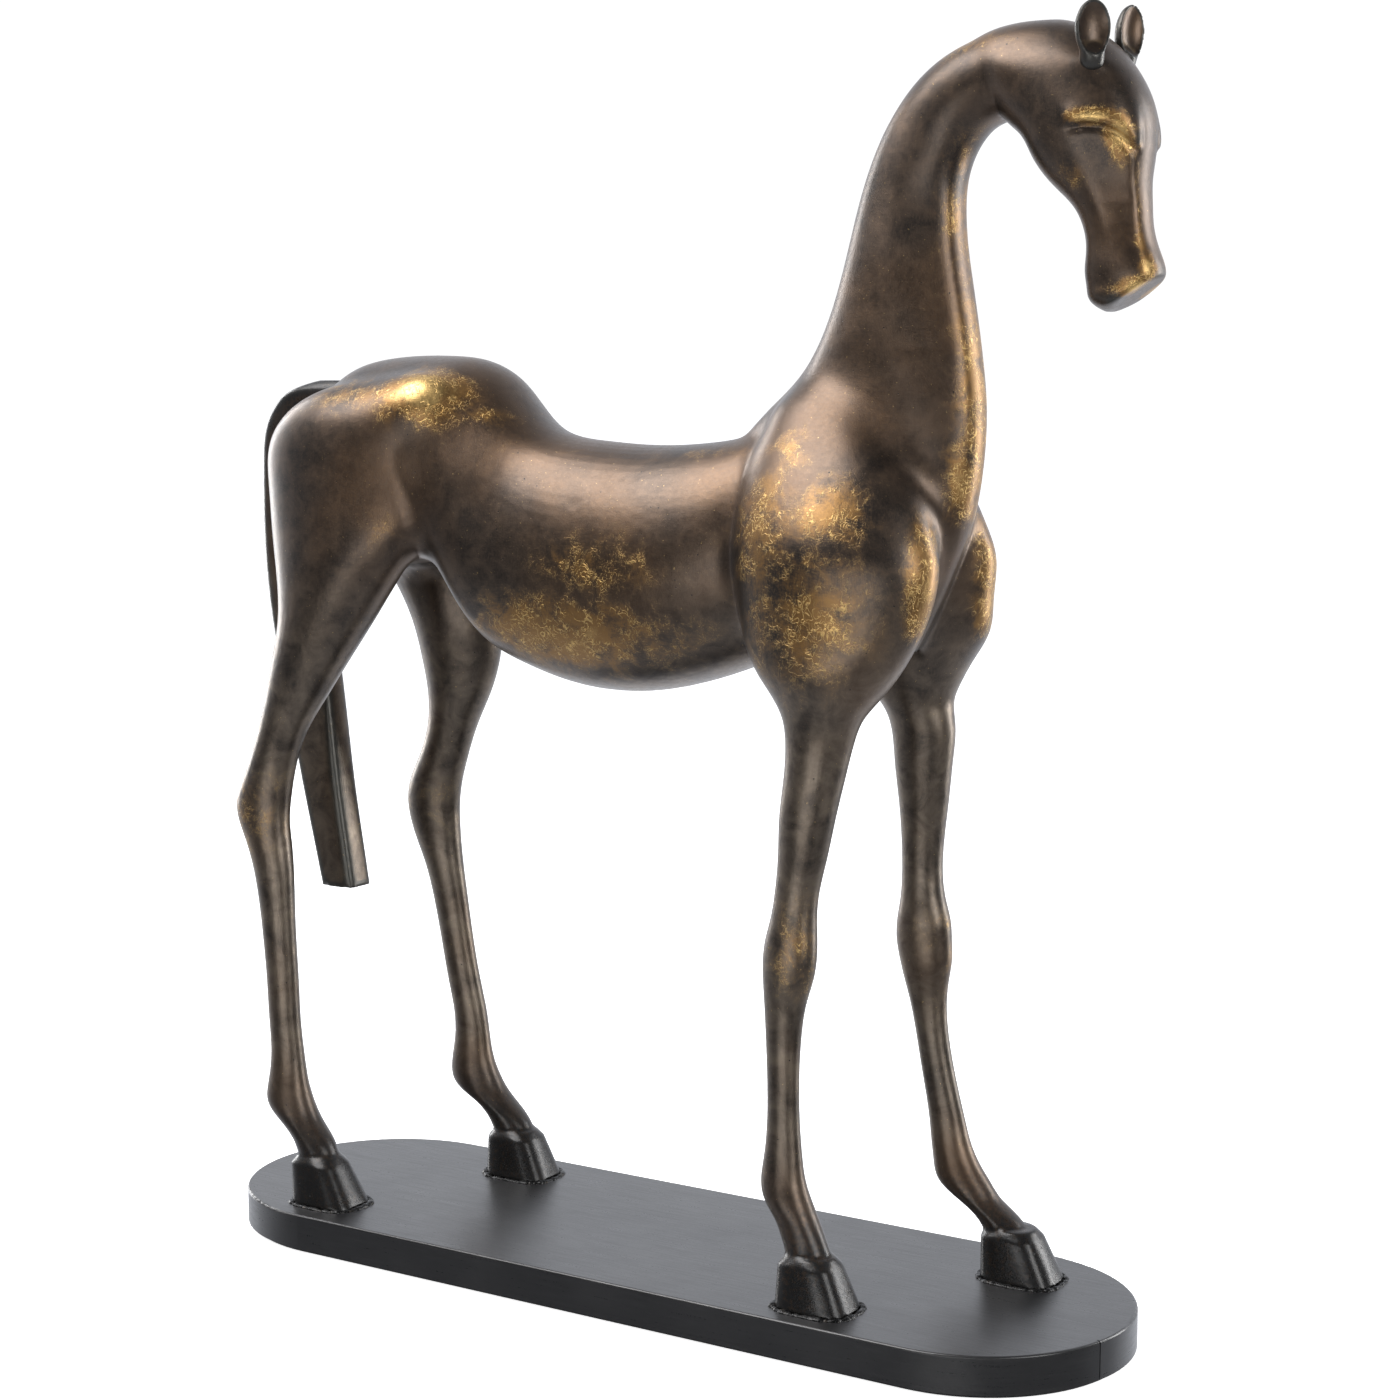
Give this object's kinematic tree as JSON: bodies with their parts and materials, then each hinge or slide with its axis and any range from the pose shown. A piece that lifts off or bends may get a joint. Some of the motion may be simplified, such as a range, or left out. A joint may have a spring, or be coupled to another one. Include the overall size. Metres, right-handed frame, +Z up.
{
  "type": "bronze horse statuette",
  "caption": "Stylised slender horse with an arched neck and a hanging head, cast in patinated bronze, standing on a black plinth with rounded ends.",
  "frame": {"origin": "Centre of the flat felt underside of the plinth.", "axes": "+Z is up, +X is the way the horse looks along the plinth's length, +Y is the horse's left side."},
  "size_m": [0.5076, 0.15, 0.6087],
  "materials": {
    "bronze": "dark brown patina with worn golden high spots and fine brush marks",
    "weld": "blackened uneven weld bead",
    "plinth_metal": "satin black lacquer, faintly brushed",
    "steel": "zinc plated steel",
    "board": "raw fibreboard",
    "felt": "black felt"
  },
  "bodies": {
    "root": {"ear_left": "bronze", "ear_right": "bronze", "felt_underlay": "felt", "head_casting": "bronze", "head_pin": "steel", "hoof_stud_left_fore": "steel", "hoof_stud_left_hind": "steel", "hoof_stud_right_fore": "steel", "hoof_stud_right_hind": "steel", "hoof_weld_left_fore": "weld", "hoof_weld_left_hind": "weld", "hoof_weld_right_fore": "weld", "hoof_weld_right_hind": "weld", "leg_left_fore": "bronze", "leg_left_hind": "bronze", "leg_pin_left_fore": "steel", "leg_pin_left_hind": "steel", "leg_pin_right_fore": "steel", "leg_pin_right_hind": "steel", "leg_right_fore": "bronze", "leg_right_hind": "bronze", "neck_casting": "bronze", "neck_pin_front": "steel", "neck_pin_rear": "steel", "nut_left_fore": "steel", "nut_left_hind": "steel", "nut_right_fore": "steel", "nut_right_hind": "steel", "plinth_core_board": "board", "plinth_skirt": "plinth_metal", "plinth_top_plate": "plinth_metal", "tail": "bronze", "tail_pin": "steel", "torso_casting": "bronze", "washer_left_fore": "steel", "washer_left_hind": "steel", "washer_right_fore": "steel", "washer_right_hind": "steel"}
  },
  "joints": []
}
